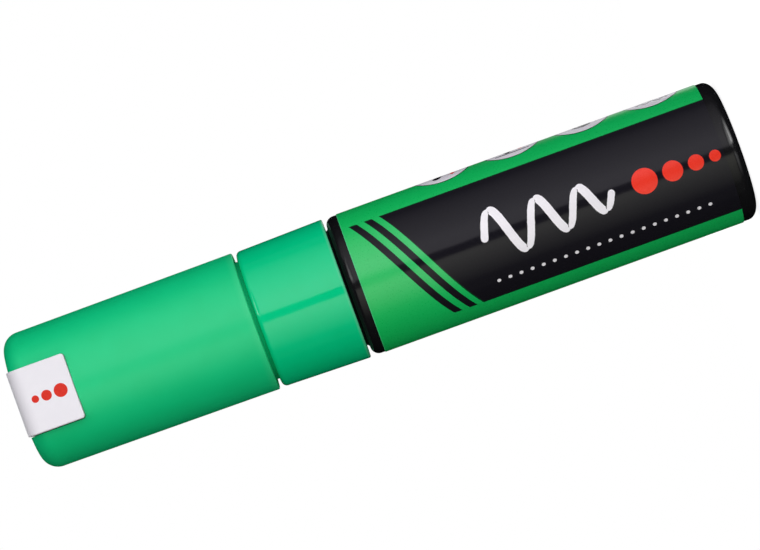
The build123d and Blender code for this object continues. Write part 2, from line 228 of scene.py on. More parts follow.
def trapped(outline):
    """The same outline a little larger, where black ink laps onto the green."""
    centre = sum((Vector(point) for point in outline), Vector((0, 0))) / len(outline)
    grown = []
    for point in outline:
        away = Vector(point) - centre
        along = panel_trap if away.x > 0 else -panel_trap
        around = panel_trap if away.y > 0 else -panel_trap
        grown.append(Vector(point) + Vector((along, around)))
    return [(min(point.x, label_length), point.y) for point in grown]


panel = [
    (panel_front_top, panel_top), (panel_front_bottom, panel_bottom),
    (label_length, panel_bottom), (label_length, panel_top),
]
bands = [slanted(-stripe_pitch * (i + 1), stripe_width) for i in range(stripe_count)] + [panel]
for band in bands:
    print_shape("overprint", trapped(band))
for band in bands:
    print_shape("black", band)

# Line sample: a wave drawn with a broad edge, so its stems are thick and its turns thin
wave_start, wave_length = 24.5, 25.0
wave_middle = -0.4
wave_reach, wave_reach_end = 5.2, 2.6
wave_turns, wave_crowding = 3.0, 0.14
wave_thin, wave_broad = 0.42, 1.25
wave_edge_angle = radians(20)
wave_shake, shake_quick, shake_slow = 0.05, 1.7, 0.61
wave_steps = 190
wave_line = []
for i in range(wave_steps + 1):
    part = i / wave_steps
    reach = wave_reach + (wave_reach_end - wave_reach) * part
    turn = 2 * pi * wave_turns * ((1 - wave_crowding) * part + wave_crowding * part**2)
    wave_line.append((wave_start + wave_length * part, wave_middle + reach * sin(turn)))
wave_widths = []
for i in range(wave_steps + 1):
    step = Vector(wave_line[min(i + 1, wave_steps)]) - Vector(wave_line[max(i - 1, 0)])
    step.normalize()
    across = abs(step.y * cos(wave_edge_angle) - step.x * sin(wave_edge_angle))
    shake = wave_shake * sin(i * shake_quick) * sin(i * shake_slow)
    wave_widths.append(wave_thin + wave_broad * across + shake)
print_shape("white", stroke(wave_line, wave_widths))

# Row of small dots under the wave
dot_count, dot_pitch, dot_diameter, dot_steps = 20, 2.2, 0.75, 20
dot_row = -9.2
for i in range(dot_count):
    print_shape("white", disc((wave_start + i * dot_pitch, dot_row), dot_diameter, dot_steps))

# Width scale: red dots that shrink towards the tail
scale_start, scale_gap = 53.6, 1.15
scale_diameters = [4.9, 3.9, 3.0, 2.2]
dot_edge = scale_start
for diameter in scale_diameters:
    print_shape("red", disc((dot_edge + diameter / 2, wave_middle), diameter))
    dot_edge += diameter + scale_gap

# Four round signs along the side, white with a thin black line round them
sign_diameter, sign_line, sign_steps = 10.9, 0.3, 120
sign_first, sign_pitch, sign_count = 21.2, 13.95, 4
sign_around = radians(86.8) * label_radius
sign_centres = [(sign_first + i * sign_pitch, sign_around) for i in range(sign_count)]
for centre in sign_centres:
    print_shape("black", disc(centre, sign_diameter, sign_steps))
    print_shape("white", disc(centre, sign_diameter - 2 * sign_line, sign_steps))
shake_sign, press_sign, drop_sign, wipe_sign = sign_centres
arrow_line, arrow_head, arrow_flare = 0.55, 1.1, 0.75


def line_on(centre, ink, points, width):
    """A line of even width on a sign, between points given from the sign's centre."""
    line = [(centre[0] + x, centre[1] + y) for x, y in points]
    print_shape(ink, stroke(line, [width] * len(line)))


def arrow_on(centre, ink, tail, tip):
    """A straight arrow on a sign, between points given from the sign's centre."""
    way = (Vector(tip) - Vector(tail)).normalized()
    side = Vector((-way.y, way.x)) * arrow_head * arrow_flare
    neck = Vector(tip) - way * arrow_head
    line_on(centre, ink, [tail, tuple(neck)], arrow_line)
    corners = [Vector(tip), neck + side, neck - side]
    print_shape(ink, [(centre[0] + c.x, centre[1] + c.y) for c in corners])


# Shake it: a bar with a tip, and an arrow each way
shake_bar, shake_tip = 1.6, 0.9
shake_column, shake_reach = 2.0, 2.6
line_on(shake_sign, "black", [(-1.2, -2.3), (0.2, 2.0)], shake_bar)
line_on(shake_sign, "black", [(0.35, 2.5), (0.75, 3.6)], shake_tip)
arrow_on(shake_sign, "red", (shake_column, 0.0), (shake_column, shake_reach))
arrow_on(shake_sign, "red", (shake_column, 0.0), (shake_column, -shake_reach))
# Press the nib: a bar with a tip over a line, and an arrow down
press_bar, press_tip, press_line = 1.7, 0.9, 0.5
press_middle, press_column = -0.9, 1.7
ground_reach, ground_level = 3.2, -2.6
line_on(press_sign, "black", [(-ground_reach, ground_level), (ground_reach, ground_level)], press_line)
line_on(press_sign, "black", [(press_middle, -0.6), (press_middle, 3.2)], press_bar)
line_on(press_sign, "black", [(press_middle, -1.8), (press_middle, -1.0)], press_tip)
arrow_on(press_sign, "red", (press_column, 2.6), (press_column, -1.4))
# Water-based: a drop with a glint
drop_radius, drop_middle, drop_top = 1.9, -0.9, 3.4
drop_bend, drop_steps = radians(30), 40
drop_turns = [pi - drop_bend + (pi + 2 * drop_bend) * i / drop_steps for i in range(drop_steps + 1)]
drop = [(drop_radius * cos(a), drop_radius * sin(a) + drop_middle) for a in drop_turns] + [(0, drop_top)]
print_shape("black", [(drop_sign[0] + x, drop_sign[1] + y) for x, y in drop])
glint_radius, glint_line, glint_steps = 1.2, 0.4, 8
glint_start, glint_sweep = 200, 60
glint_turns = [radians(glint_start + glint_sweep * i / glint_steps) for i in range(glint_steps + 1)]
glint = [(glint_radius * cos(a), glint_radius * sin(a) + drop_middle) for a in glint_turns]
line_on(drop_sign, "white", glint, glint_line)
# Wipes off: a cloth with a fold over a wavy line
ripple_line, cloth_width, fold_line = 0.5, 2.4, 0.4
ripple_start, ripple_step, ripple_count = -3, 0.2, 31
ripple_level, ripple_height, ripple_rate = -2.2, 0.45, 2.6
ripple = []
for i in range(ripple_count):
    rise = ripple_height * sin(ripple_step * i * ripple_rate)
    ripple.append((ripple_start + ripple_step * i, ripple_level + rise))
line_on(wipe_sign, "black", ripple, ripple_line)
line_on(wipe_sign, "black", [(-1.5, 0.4), (1.7, 1.4)], cloth_width)
line_on(wipe_sign, "white", [(-1.3, 0.45), (1.5, 1.33)], fold_line)

# The flat sheet is cut along every outline and along lines close enough to bend round the barrel
flat_points, flat_edges, flat_faces = [], [], []
for ink, outline in ink_shapes:
    first = len(flat_points)
    flat_points += outline
    flat_faces.append(list(range(first, first + len(outline))))
line_count = int((sheet_end - sheet_start) / label_radius / turn_step)
for i in range(1, line_count):
    around = sheet_start + (sheet_end - sheet_start) * i / line_count
    flat_edges.append((len(flat_points), len(flat_points) + 1))
    flat_points += [Vector((0, around)), Vector((label_length, around))]
all_triangles, weld_distance, tell_shapes = 0, 1e-5, True
cut_points, _, cut_faces, _, _, face_shapes = delaunay_2d_cdt(
    flat_points, flat_edges, flat_faces, all_triangles, weld_distance, tell_shapes
)
slope_step = 0.001


def wrapped(point, depth):
    """A point of the flat sheet on the barrel, and the way its surface faces there."""
    angle = point.y / label_radius
    radius = film_height(angle) - depth
    climb = film_height(angle + slope_step) - film_height(angle - slope_step)
    slope = climb / (2 * slope_step) / radius
    way = Vector((sin(angle) - slope * cos(angle), -cos(angle) - slope * sin(angle), 0)).normalized()
    return Vector((radius * sin(angle), -radius * cos(angle), label_front - point.x)) * MM, way


outer = [wrapped(point, 0) for point in cut_points]
inner = [wrapped(point, film) for point in cut_points]
sheet_vertices = [spot for spot, _ in outer + inner]
sheet_ways = [way for _, way in outer] + [-way for _, way in inner]
shift = len(cut_points)
sheet_faces, sheet_inks = [], []
edge_uses = {}
for corners, shapes in zip(cut_faces, face_shapes):
    a, b, c = (cut_points[i] for i in corners)
    if (b - a).cross(c - a) < 0:
        corners = corners[::-1]
    sheet_faces.append(list(corners))
    sheet_inks.append(ink_shapes[max(shapes)][0])
    for i in range(3):
        pair = (corners[i], corners[(i + 1) % 3])
        edge_uses[frozenset(pair)] = None if frozenset(pair) in edge_uses else pair
bare_ink = film_inks.index("bare")
front_count = len(sheet_faces)
sheet_faces += [[i + shift for i in corners[::-1]] for corners in sheet_faces]
sheet_inks += [bare_ink] * front_count
rim_pairs = [pair for pair in edge_uses.values() if pair]
sheet_faces += [[b, a, a + shift, b + shift] for a, b in rim_pairs]
sheet_inks += [bare_ink] * len(rim_pairs)


def add_mesh(name, vertices, faces):
    """An object made of points and faces, in the scene."""
    mesh = bpy.data.meshes.new(name)
    mesh.from_pydata(vertices, [], faces)
    added = bpy.data.objects.new(name, mesh)
    bpy.context.scene.collection.objects.link(added)
    return added


printed_label = add_mesh("printed_label", sheet_vertices, sheet_faces)
loop_ways = []
for polygon, ink in zip(printed_label.data.polygons, sheet_inks):
    polygon.material_index = ink
    polygon.use_smooth = polygon.index < 2 * front_count
    for vertex in polygon.vertices:
        loop_ways.append(sheet_ways[vertex] if polygon.use_smooth else (0, 0, 0))
printed_label.data.normals_split_custom_set(loop_ways)


def film_ink(name, colour, second_colour, gloss, roughness):
    """Ink under clear film: an even colour with a fine grain, and a sheen that the film softens."""
    material, tree, place = start_material(name)
    # Pigment grain is finer than a pixel, so it is drawn at 0.25 mm
    grain = noise(tree, place, 0.25 * MM, 3)
    grain_share = remap(tree, grain, 0.0, 1.0, start=0.3, end=0.7)
    # The film lies a little uneven on the glue, in patches of about 7 mm
    lie = noise(tree, place, 7 * MM, 2)
    close_material(tree, {
        "Base Color": blend(tree, grain_share, linear(colour), linear(second_colour)),
        "Roughness": remap(tree, grain, roughness - 0.05, roughness + 0.05),
        "IOR": 1.49,
        "Specular IOR Level": gloss,
        "Normal": relief(tree, lie, 1.0, 0.03 * MM),
    })
    return material


# Green prints as a pearly colour with a broad sheen, black as a duller one with a sharp sheen,
# and the cut edge of the film is a little paler than the green
ink_materials = {
    "green": film_ink("film_ink_pearl_green", "#04BE5A", "#0DC563", gloss=0.64, roughness=0.29),
    "overprint": film_ink("film_ink_black_on_green", "#04401F", "#075329", gloss=0.3, roughness=0.25),
    "black": film_ink("film_ink_black", "#15141A", "#18171D", gloss=0.19, roughness=0.13),
    "white": film_ink("film_ink_white", "#F6F4F9", "#FBF9FE", gloss=0.3, roughness=0.25),
    "red": film_ink("film_ink_red", "#FC301B", "#FF3E29", gloss=0.3, roughness=0.25),
    "bare": film_ink("film_cut_edge", "#3CC47C", "#4ACB87", gloss=0.5, roughness=0.35),
}
for ink in film_inks:
    printed_label.data.materials.append(ink_materials[ink])
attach(printed_label, "marker_body")
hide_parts("barrel_label")

# Tail plug
# A rounded black cup with a hollow spigot, moulded in the same ABS as the barrel.
# It is pressed into the barrel's open end, and the marker can stand on its flat.
dress("tail_plug", black_abs)

# Mixing balls
# Two hardened steel balls, ground and tumbled bright.
# They lie loose in the ink chamber and stir the ink when the marker is shaken.
# Ground steel: a clean mirror with a trace of lapping haze
bright_steel, tree, place = start_material("steel_ground_bright")
lapping = noise(tree, place, 0.4 * MM, 3)
close_material(tree, {
    "Base Color": linear("#C9CACC"),
    "Metallic": 1.0,
    "Roughness": remap(tree, lapping, 0.12, 0.3),
})
dress("mixing_balls", bright_steel)

# Valve cage, body and stem
# White acetal mouldings that snap and clamp together in the barrel's neck: the perforated disc under the
# spring, the cup with the valve seat, and the stem that the nib pushes.
# Acetal is milky and slightly waxy, with a soft low gloss from a fine-eroded tool
acetal, tree, place = start_material("acetal_natural_moulded")
cloud = noise(tree, place, 3 * MM, 3)
erosion = noise(tree, place, 0.15 * MM, 2)
close_material(tree, {
    "Base Color": blend(tree, cloud, linear("#E6E6E1"), linear("#F2F2EE")),
    "Roughness": 0.38,
    "IOR": 1.48,
    "Subsurface Weight": 0.15,
    "Subsurface Radius": (0.6 * MM, 0.6 * MM, 0.5 * MM),
    "Subsurface Scale": 1.0,
    "Normal": relief(tree, erosion, 0.4, 0.006 * MM),
})
for name in ("valve_cage", "valve_body", "valve_stem"):
    dress(name, acetal)

# Valve seal and neck gasket
# Washers die-cut from a sheet of black nitrile rubber.
# The seal is stretched over the stem, and the gasket is clamped under the valve's flange.
# Rubber is a dull dark grey with a bloom of talc
rubber, tree, place = start_material("nitrile_rubber_die_cut")
bloom = noise(tree, place, 0.8 * MM, 5)
close_material(tree, {
    "Base Color": blend(tree, bloom, linear("#1B1B1C"), linear("#333334")),
    "Roughness": 0.75,
    "IOR": 1.52,
})
for name in ("valve_seal", "neck_gasket"):
    dress(name, rubber)

# Valve spring
# Stainless wire wound into six turns between the cage and the stem's head, which it pushes shut.
# It shortens when the nib is pressed.
spring_low, spring_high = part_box("valve_spring")
spring_length = spring_high.z - spring_low.z
spring_wire_radius = 0.3 * MM
spring_turns, spring_steps, wire_sides = 6, 48, 14
spring_radius = (spring_high.x - spring_low.x) / 2 - spring_wire_radius
spring_rise = spring_length - 2 * spring_wire_radius
spring_climb = spring_rise / spring_turns / (2 * pi * spring_radius)
spring_vertices = []
for i in range(spring_turns * spring_steps + 1):
    angle = 2 * pi * i / spring_steps
    out = Vector((cos(angle), sin(angle), 0))
    centre = out * spring_radius
    centre.z = spring_low.z + spring_wire_radius + spring_rise * i / (spring_turns * spring_steps)
    ahead = Vector((-sin(angle), cos(angle), spring_climb)).normalized()
    up = ahead.cross(out)
    for j in range(wire_sides):
        side = 2 * pi * j / wire_sides
        spring_vertices.append(centre + (out * cos(side) + up * sin(side)) * spring_wire_radius)


def ring_faces(first, size, count):
    """Faces between closed rings of points that follow each other, from the point with a number on."""
    faces = []
    for start in range(first, first + (count - 1) * size, size):
        for j in range(size):
            a, b = start + j, start + (j + 1) % size
            faces.append((a, b, b + size, a + size))
    return faces


spring_faces = ring_faces(0, wire_sides, spring_turns * spring_steps + 1)
spring_faces.append(tuple(range(wire_sides))[::-1])
spring_faces.append(tuple(range(len(spring_vertices) - wire_sides, len(spring_vertices))))
wound_spring = add_mesh("wound_spring", spring_vertices, spring_faces)
for polygon in wound_spring.data.polygons:
    polygon.use_smooth = len(polygon.vertices) == 4
# Drawn stainless wire: bright, with fine die marks that soften the glint
drawn_wire, tree, place = start_material("stainless_wire_drawn")
die_marks = noise(tree, place, 0.1 * MM, 2)
close_material(tree, {
    "Base Color": linear("#BFC0C2"),
    "Metallic": 1.0,
    "Roughness": remap(tree, die_marks, 0.2, 0.4),
})
wound_spring.data.materials.append(drawn_wire)
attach(wound_spring, "marker_body")
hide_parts("valve_spring")
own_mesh(wound_spring)

# Front holder
# Collar, seat for the cap and nose in one green polypropylene moulding, snapped over the barrel's neck.
# The tool is polished for the collar, which is a little uneven where it shrank, and left satin above it.
# Green polypropylene, polished: a saturated colour with hard reflections that waver slightly
green_gloss, tree, place = start_material("polypropylene_green_polished")
shrink = noise(tree, place, 9 * MM, 2)
flow = noise(tree, place, 4 * MM, 4)
flow_colour = blend(tree, flow, linear("#00C882"), linear("#03CE8A"))
holder_height = add_node(tree, "ShaderNodeSeparateXYZ", {"Vector": place}).outputs["Z"]
# The seat and the nose are satin, rougher and duller, from the collar's front edge on,
# which lies just behind the cap's mouth
cap_gap = 0.55 * MM
collar_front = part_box("cap_shell")[0].z - cap_gap
satin_start = collar_front - 0.1 * MM
satin_added = remap(tree, holder_height, 0.0, 0.4, start=satin_start, end=collar_front)
flow_roughness = remap(tree, flow, 0.08, 0.13)
holder_roughness = add_node(tree, "ShaderNodeMath", {0: flow_roughness, 1: satin_added}, operation="ADD")
# Painted highlight: the collar's rear rim is drawn paler, where its edge catches the light
collar_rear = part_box("front_holder")[0].z
rim_highlight_width = 0.6 * MM
rim_highlight = remap(tree, holder_height, 1.0, 0.0, start=collar_rear, end=collar_rear + rim_highlight_width)
close_material(tree, {
    "Base Color": blend(tree, rim_highlight, flow_colour, linear("#5ACD98")),
    "Roughness": holder_roughness.outputs[0],
    "IOR": 1.49,
    "Specular IOR Level": remap(tree, holder_height, 0.4, 0.1, start=satin_start, end=collar_front),
    "Normal": relief(tree, shrink, 1.0, 0.04 * MM),
})
dress("front_holder", green_gloss)

# Nib
# A bar of bonded polyester fibre, cut to a slanted chisel. It slides in the nose and pushes the stem.
# Cutting leaves its edges soft, so the end is a smooth surface over the bar's section.
nib_low, nib_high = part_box("nib")
nib_half_width = nib_high.x
nib_half_thickness = nib_high.y
nib_corner = 0.8 * MM
nib_slant_drop = 2.4 * MM
nib_bevel_height = 5.0 * MM
nib_half_edge = 1.0 * MM
nib_blend = 0.35 * MM
nib_edge_round = 0.45 * MM
corner_steps, side_steps, side_levels = 6, 16, 24
end_rings, end_crowding = 28, 1.6


def nib_outline():
    """Points round the bar's section, with round corners."""
    points = []
    for x_sign, y_sign, start in ((1, 1, 0), (-1, 1, 0.5 * pi), (-1, -1, pi), (1, -1, 1.5 * pi)):
        x, y = x_sign * (nib_half_width - nib_corner), y_sign * (nib_half_thickness - nib_corner)
        for i in range(corner_steps + 1):
            angle = start + 0.5 * pi * i / corner_steps
            points.append(Vector((x, y)) + nib_corner * Vector((cos(angle), sin(angle))))
    even = []
    for here, after in zip(points, points[1:] + points[:1]):
        steps = side_steps if (after - here).length > nib_corner else 1
        even += [here.lerp(after, i / steps) for i in range(steps)]
    return even


def nib_top(point):
    """Height of the cut end over a point of the section, with the ridges between the cuts softened."""
    slant = nib_high.z - nib_slant_drop * (0.5 - point.x / nib_half_width / 2)
    spare = nib_half_thickness - nib_half_edge
    bevel = nib_high.z - nib_bevel_height * (abs(point.y) - nib_half_edge) / spare
    gap = slant - bevel
    return (slant + bevel - sqrt(gap * gap + nib_blend * nib_blend)) / 2


outline = nib_outline()
nib_vertices = [Vector((point.x, point.y, nib_low.z)) for point in outline]
for level in range(1, side_levels + 1):
    share = level / side_levels
    for point in outline:
        top = nib_top(point) - nib_edge_round
        nib_vertices.append(Vector((point.x, point.y, nib_low.z + (top - nib_low.z) * share)))
for ring in range(1, end_rings):
    inset = (ring / end_rings) ** end_crowding
    for point in outline:
        here = point * (1 - inset)
        depth = (point - here).length
        fall = max(nib_edge_round - depth, 0)
        sunk = nib_edge_round - sqrt(max(nib_edge_round**2 - fall**2, 0))
        nib_vertices.append(Vector((here.x, here.y, nib_top(here) - sunk)))
nib_vertices.append(Vector((0, 0, nib_top(Vector((0, 0))))))
around_count = len(outline)
nib_rings = side_levels + end_rings
nib_faces = [tuple(range(around_count))[::-1]] + ring_faces(0, around_count, nib_rings)
last_ring = (nib_rings - 1) * around_count
for i in range(around_count):
    nib_faces.append((last_ring + i, last_ring + (i + 1) % around_count, len(nib_vertices) - 1))
felt_nib = add_mesh("felt_nib", nib_vertices, nib_faces)
for polygon in felt_nib.data.polygons:
    polygon.use_smooth = polygon.index > 0
# Bonded polyester fibre: chalky white, dull, with fibres that run the length of the bar
felt, tree, place = start_material("polyester_fibre_bonded")


def streaks(tree, place, width, length, detail):
    """A pattern of streaks along the marker's axis, from 0 to 1."""
    scale = (1 / width, 1 / width, 1 / length)
    stretched = add_node(tree, "ShaderNodeMapping", {"Vector": place, "Scale": scale})
    return noise(tree, stretched.outputs["Vector"], 1.0, detail)


# Fibres are 0.03 mm; they are drawn 0.18 mm thick and 4 mm long so that they show
fibre = streaks(tree, place, 0.18 * MM, 4 * MM, 4)
close_material(tree, {
    "Base Color": blend(tree, fibre, linear("#D9D8D2"), linear("#F4F3EF")),
    "Roughness": 0.9,
    "IOR": 1.5,
    "Sheen Weight": 0.3,
    "Sheen Roughness": 0.5,
    "Normal": relief(tree, fibre, 0.8, 0.05 * MM),
})
felt_nib.data.materials.append(felt)
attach(felt_nib, "nib_bar")
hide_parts("nib")

# Cap shell
# A green polypropylene cup with a rounded end, moulded against a satin tool and drawn off along its axis.
# It is pushed onto the holder's seat and stops just short of the collar.
# Green polypropylene, satin: the collar's colour with a broad soft sheen and faint marks from the draw
green_satin, tree, place = start_material("polypropylene_green_satin")
draw = streaks(tree, place, 0.7 * MM, 25 * MM, 3)
mottle = noise(tree, place, 5 * MM, 4)
mottle_colour = blend(tree, mottle, linear("#00C87D"), linear("#03CF85"))
# Painted highlight: its mouth is drawn a little paler, where the rim catches the light
cap_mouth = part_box("cap_shell")[0].z
mouth_highlight_width = 1.5 * MM
cap_height = add_node(tree, "ShaderNodeSeparateXYZ", {"Vector": place}).outputs["Z"]
mouth_highlight = remap(tree, cap_height, 1.0, 0.0, start=cap_mouth, end=cap_mouth + mouth_highlight_width)
# The eroded texture of the tool is drawn at 0.3 mm, three times its real size
tool_texture = noise(tree, place, 0.3 * MM, 2)
close_material(tree, {
    "Base Color": blend(tree, mouth_highlight, mottle_colour, linear("#2AD187")),
    "Roughness": remap(tree, draw, 0.3, 0.4),
    "IOR": 1.49,
    "Specular IOR Level": 0.4,
    "Normal": relief(tree, tool_texture, 0.5, 0.008 * MM),
})
dress("cap_shell", green_satin)

# Inner cap
# A soft moulded liner of polyethylene, pressed between the cap's ribs.
# It seals round the nose, so that the ink in the nib doesn't dry.
# Natural polyethylene: a milky, waxy white that lets some light through
polyethylene, tree, place = start_material("polyethylene_natural")
milk = noise(tree, place, 4 * MM, 3)
close_material(tree, {
    "Base Color": blend(tree, milk, linear("#DCE0DE"), linear("#EDF0EE")),
    "Roughness": 0.42,
    "IOR": 1.51,
    "Subsurface Weight": 0.3,
    "Subsurface Radius": (1.5 * MM, 1.5 * MM, 1.2 * MM),
    "Subsurface Scale": 1.0,
})
dress("inner_cap", polyethylene)

# Cap tab
# A white ABS insert, flat on the cap's side and turned over its end, pegged into the cap.
# Its face is just proud of the cap's front, so its two sides stand clear of the round wall.
tab_low, tab_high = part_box("cap_tab")
tab_wider, tab_longer, tab_proud = 0.1 * MM, 0.12 * MM, 1.85 * MM
tab_half_width = tab_high.x + tab_wider
tab_aside = 0.06 * MM
tab_draft = 0.01 * MM
tab_face = tab_low.y - tab_proud
tab_mouth = tab_low.z - tab_longer
tab_bend, tab_bend_steps = 2.9 * MM, 20
tab_depth_side, tab_depth_end = 2.6 * MM, 1.2 * MM
tab_edge, tab_edge_steps = 0.25 * MM, 5
tab_edge_margin = 0.06 * MM
tab_corner, tab_corner_steps = 0.6 * MM, 5
tab_peg_radius, tab_peg_length, tab_peg_steps = 1.6 * MM, 4.0 * MM, 32
tab_sharp_angle = radians(35)
tab_flat_length = tab_high.z - tab_bend - tab_mouth
tab_bend_length = tab_bend * pi / 2
tab_length = tab_flat_length + tab_bend_length + tab_high.y - tab_face - tab_bend


def tab_place(along, across, depth):
    """A point of the tab: along its face from the mouth side, across it, and a depth under its face."""
    turn = min(max((along - tab_flat_length) / tab_bend, 0), pi / 2)
    up = min(along, tab_flat_length)
    over = max(along - tab_flat_length - tab_bend_length, 0)
    reach = tab_bend - depth
    y = tab_face + tab_bend - reach * cos(turn) + over
    z = tab_mouth + up + reach * sin(turn)
    return tab_aside + across, y, z


# Each station along the tab: its place, and how far the round edge sinks it
edge_turns = [0.5 * pi * i / tab_edge_steps for i in range(tab_edge_steps + 1)]
edge_round = [(tab_edge * (1 - cos(a)), tab_edge * (1 - sin(a))) for a in edge_turns]
corner_shares = [i / tab_corner_steps for i in range(1, tab_corner_steps + 1)]
corner_places = [tab_edge + (tab_corner - tab_edge) * share for share in corner_shares]
bend_places = [tab_flat_length + tab_bend_length * i / tab_bend_steps for i in range(tab_bend_steps + 1)]
tab_stations = edge_round + [(along, 0) for along in corner_places + bend_places]
tab_stations.append((tab_length - tab_edge - tab_edge_margin, 0))
tab_stations += [(tab_length - along, sink) for along, sink in edge_round[::-1]]
# The section across the tab at each station has round edges and gets narrower in the corners
tab_vertices = []
for along, sink in tab_stations:
    from_corner = max(tab_corner - along, 0)
    half = tab_half_width - tab_corner + sqrt(tab_corner**2 - from_corner**2)
    past_flat = min(max((along - tab_flat_length) / tab_bend_length, 0), 1)
    bottom = tab_depth_side + (tab_depth_end - tab_depth_side) * past_flat
    side = [(half + tab_draft, bottom)]
    side += [(half - inward, sink + depth) for inward, depth in edge_round]
    side += [(half - tab_edge - tab_edge_margin, sink)]
    section = side + [(-across, depth) for across, depth in side[::-1]]
    tab_vertices += [tab_place(along, across, depth) for across, depth in section]
section_size = len(section)
peg_first = len(tab_vertices)
for height in (tab_high.z - tab_depth_end / 2, tab_high.z - tab_depth_end - tab_peg_length):
    tab_vertices += [(x, y, height) for x, y in disc((0, 0), 2 * tab_peg_radius, tab_peg_steps)]


def closed_prism(first, size, count):
    """Faces of a closed body: rings as in ring_faces, but turned the other way, and its two ends."""
    last = first + (count - 1) * size
    faces = [(b, a, d, c) for a, b, c, d in ring_faces(first, size, count)]
    return faces + [tuple(range(first, first + size)), tuple(range(last, last + size))[::-1]]


tab_faces = closed_prism(0, section_size, len(tab_stations)) + closed_prism(peg_first, tab_peg_steps, 2)
white_tab = add_mesh("white_tab", tab_vertices, tab_faces)
white_tab.data.shade_smooth()
white_tab.data.set_sharp_from_angle(angle=tab_sharp_angle)
# White ABS: clean and slightly cool, with a low satin gloss and a faint uneven grime
white_abs, tree, place = start_material("white_abs_satin")
grime = noise(tree, place, 2.5 * MM, 5)
close_material(tree, {
    "Base Color": blend(tree, grime, linear("#EFEEF3"), linear("#E9E8EE")),
    "Roughness": remap(tree, grime, 0.28, 0.4),
    "IOR": 1.54,
})
white_tab.data.materials.append(white_abs)
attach(white_tab, "cap")
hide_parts("cap_tab")

# Tab print
# The label's width scale again, small: three red dots pad-printed on the tab's flat face.
# The ink is a film a few hundredths of a millimetre thick, keyed a little into the plastic.
tab_dot_diameters = [2.6 * MM, 2.0 * MM, 1.4 * MM]
tab_dot_margin, tab_dot_gap = 1.2 * MM, 0.5 * MM
tab_dot_steps = 48
ink_proud, ink_key = 0.015 * MM, 0.01 * MM
tab_dot_vertices, tab_dot_faces = [], []
tab_dot_edge = tab_low.z + tab_dot_margin
for diameter in tab_dot_diameters:
    tab_dot_faces += closed_prism(len(tab_dot_vertices), tab_dot_steps, 2)
    rim = disc((0, tab_dot_edge + diameter / 2), diameter, tab_dot_steps)
    for depth in (tab_face - ink_proud, tab_face + ink_key):
        tab_dot_vertices += [(x, depth, z) for x, z in rim]
    tab_dot_edge += diameter + tab_dot_gap
tab_print = add_mesh("tab_print", tab_dot_vertices, tab_dot_faces)
# Pad-printed ink: a deeper red than the label's, with the tab's softer gloss
pad_ink = film_ink("pad_print_ink_red", "#D6240F", "#DE2E1C", gloss=0.3, roughness=0.32)
tab_print.data.materials.append(pad_ink)
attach(tab_print, "cap")

# Floor
# A small pale board under the marker, which takes its soft shadow.
# It glows for the camera alone, so that it looks as white as the surround.
floor_diameter, floor_steps = 0.32, 96
floor_gap = 0.05 * MM
floor_glow = 0.88
floor_rim = [(x, y, -floor_gap) for x, y in disc((0, 0), floor_diameter, floor_steps)]
floor = add_mesh("floor", floor_rim, [tuple(range(floor_steps))])
# Matt white board: no gloss, and a grey of its own that lets the shadow show
white_board, tree, place = start_material("board_white_matt")
camera_ray = add_node(tree, "ShaderNodeLightPath").outputs["Is Camera Ray"]
glow_strength = remap(tree, camera_ray, 0.0, floor_glow)
matt = add_node(tree, "ShaderNodeBsdfDiffuse", {"Color": linear("#A8A8A8")})
glow = add_node(tree, "ShaderNodeEmission", {"Color": (1, 1, 1, 1), "Strength": glow_strength})
board = add_node(tree, "ShaderNodeAddShader", {0: matt.outputs["BSDF"], 1: glow.outputs["Emission"]})
add_node(tree, "ShaderNodeOutputMaterial", {"Surface": board.outputs["Shader"]})
floor.data.materials.append(white_board)
# The banks reach below the board, so it neither blocks their light nor hides them from the tail's polish
floor.visible_shadow = False
floor.visible_glossy = False

# Lights
# Two long soft banks, one each side of the camera with a narrow dark gap between them, and a strip behind.
# Each is given by the angles that it covers as seen from the marker, from the camera's side towards +X.
bank_distance = 0.36
bank_dimmest = 0.04
# The marker is seen turned a little round its axis: the camera and all the lights are turned together
camera_turn = radians(-1.23)


def add_bank(name, angles, fade, heights, brightness, tint):
    """A flat lamp between two angles and two heights that fades out from one angle to another."""
    middle, half = radians(sum(angles) / 2), radians(angles[1] - angles[0]) / 2
    lamp = bpy.data.lights.new(name, "AREA")
    lamp.shape = "RECTANGLE"
    lamp.size = 2 * bank_distance * tan(half)
    lamp.size_y = heights[1] - heights[0]
    lamp.energy = brightness * pi * lamp.size * lamp.size_y
    lamp.color = tint
    lamp.use_nodes = True
    tree = lamp.node_tree
    tree.nodes.clear()
    spread = add_node(tree, "ShaderNodeNewGeometry").outputs["Parametric"]
    across = add_node(tree, "ShaderNodeSeparateXYZ", {"Vector": spread}).outputs["X"]
    full, out = ((1 + tan(radians(angle) - middle) / tan(half)) / 2 for angle in fade)
    strength = remap(tree, across, 1.0, bank_dimmest, start=full, end=out)
    glow = add_node(tree, "ShaderNodeEmission", {"Strength": strength})
    add_node(tree, "ShaderNodeOutputLight", {"Surface": glow.outputs["Emission"]})
    facing = middle + camera_turn
    away = Vector((sin(facing), -cos(facing), 0))
    bank = bpy.data.objects.new(name, lamp)
    bank.location = away * bank_distance + Vector((0, 0, sum(heights) / 2))
    bank.rotation_mode = "QUATERNION"
    bank.rotation_quaternion = (-away).to_track_quat("-Z", "Y")
    bank.visible_camera = False
    bpy.context.scene.collection.objects.link(bank)
    return bank


add_bank(
    "bank_upper", angles=(5, 105), fade=(24, 90), heights=(-0.93, 0.63),
    brightness=1.78, tint=(1.0, 0.97, 1.04),
)
add_bank(
    "bank_lower", angles=(-75, -7), fade=(-14, -57), heights=(-0.93, 0.34),
    brightness=1.62, tint=(1.0, 1.0, 0.88),
)
strip_behind = add_bank(
    "strip_behind", angles=(175, 185), fade=(185, 200), heights=(-0.9, 1.0),
    brightness=7.0, tint=(1.0, 1.0, 1.0),
)
strip_behind.visible_glossy = False

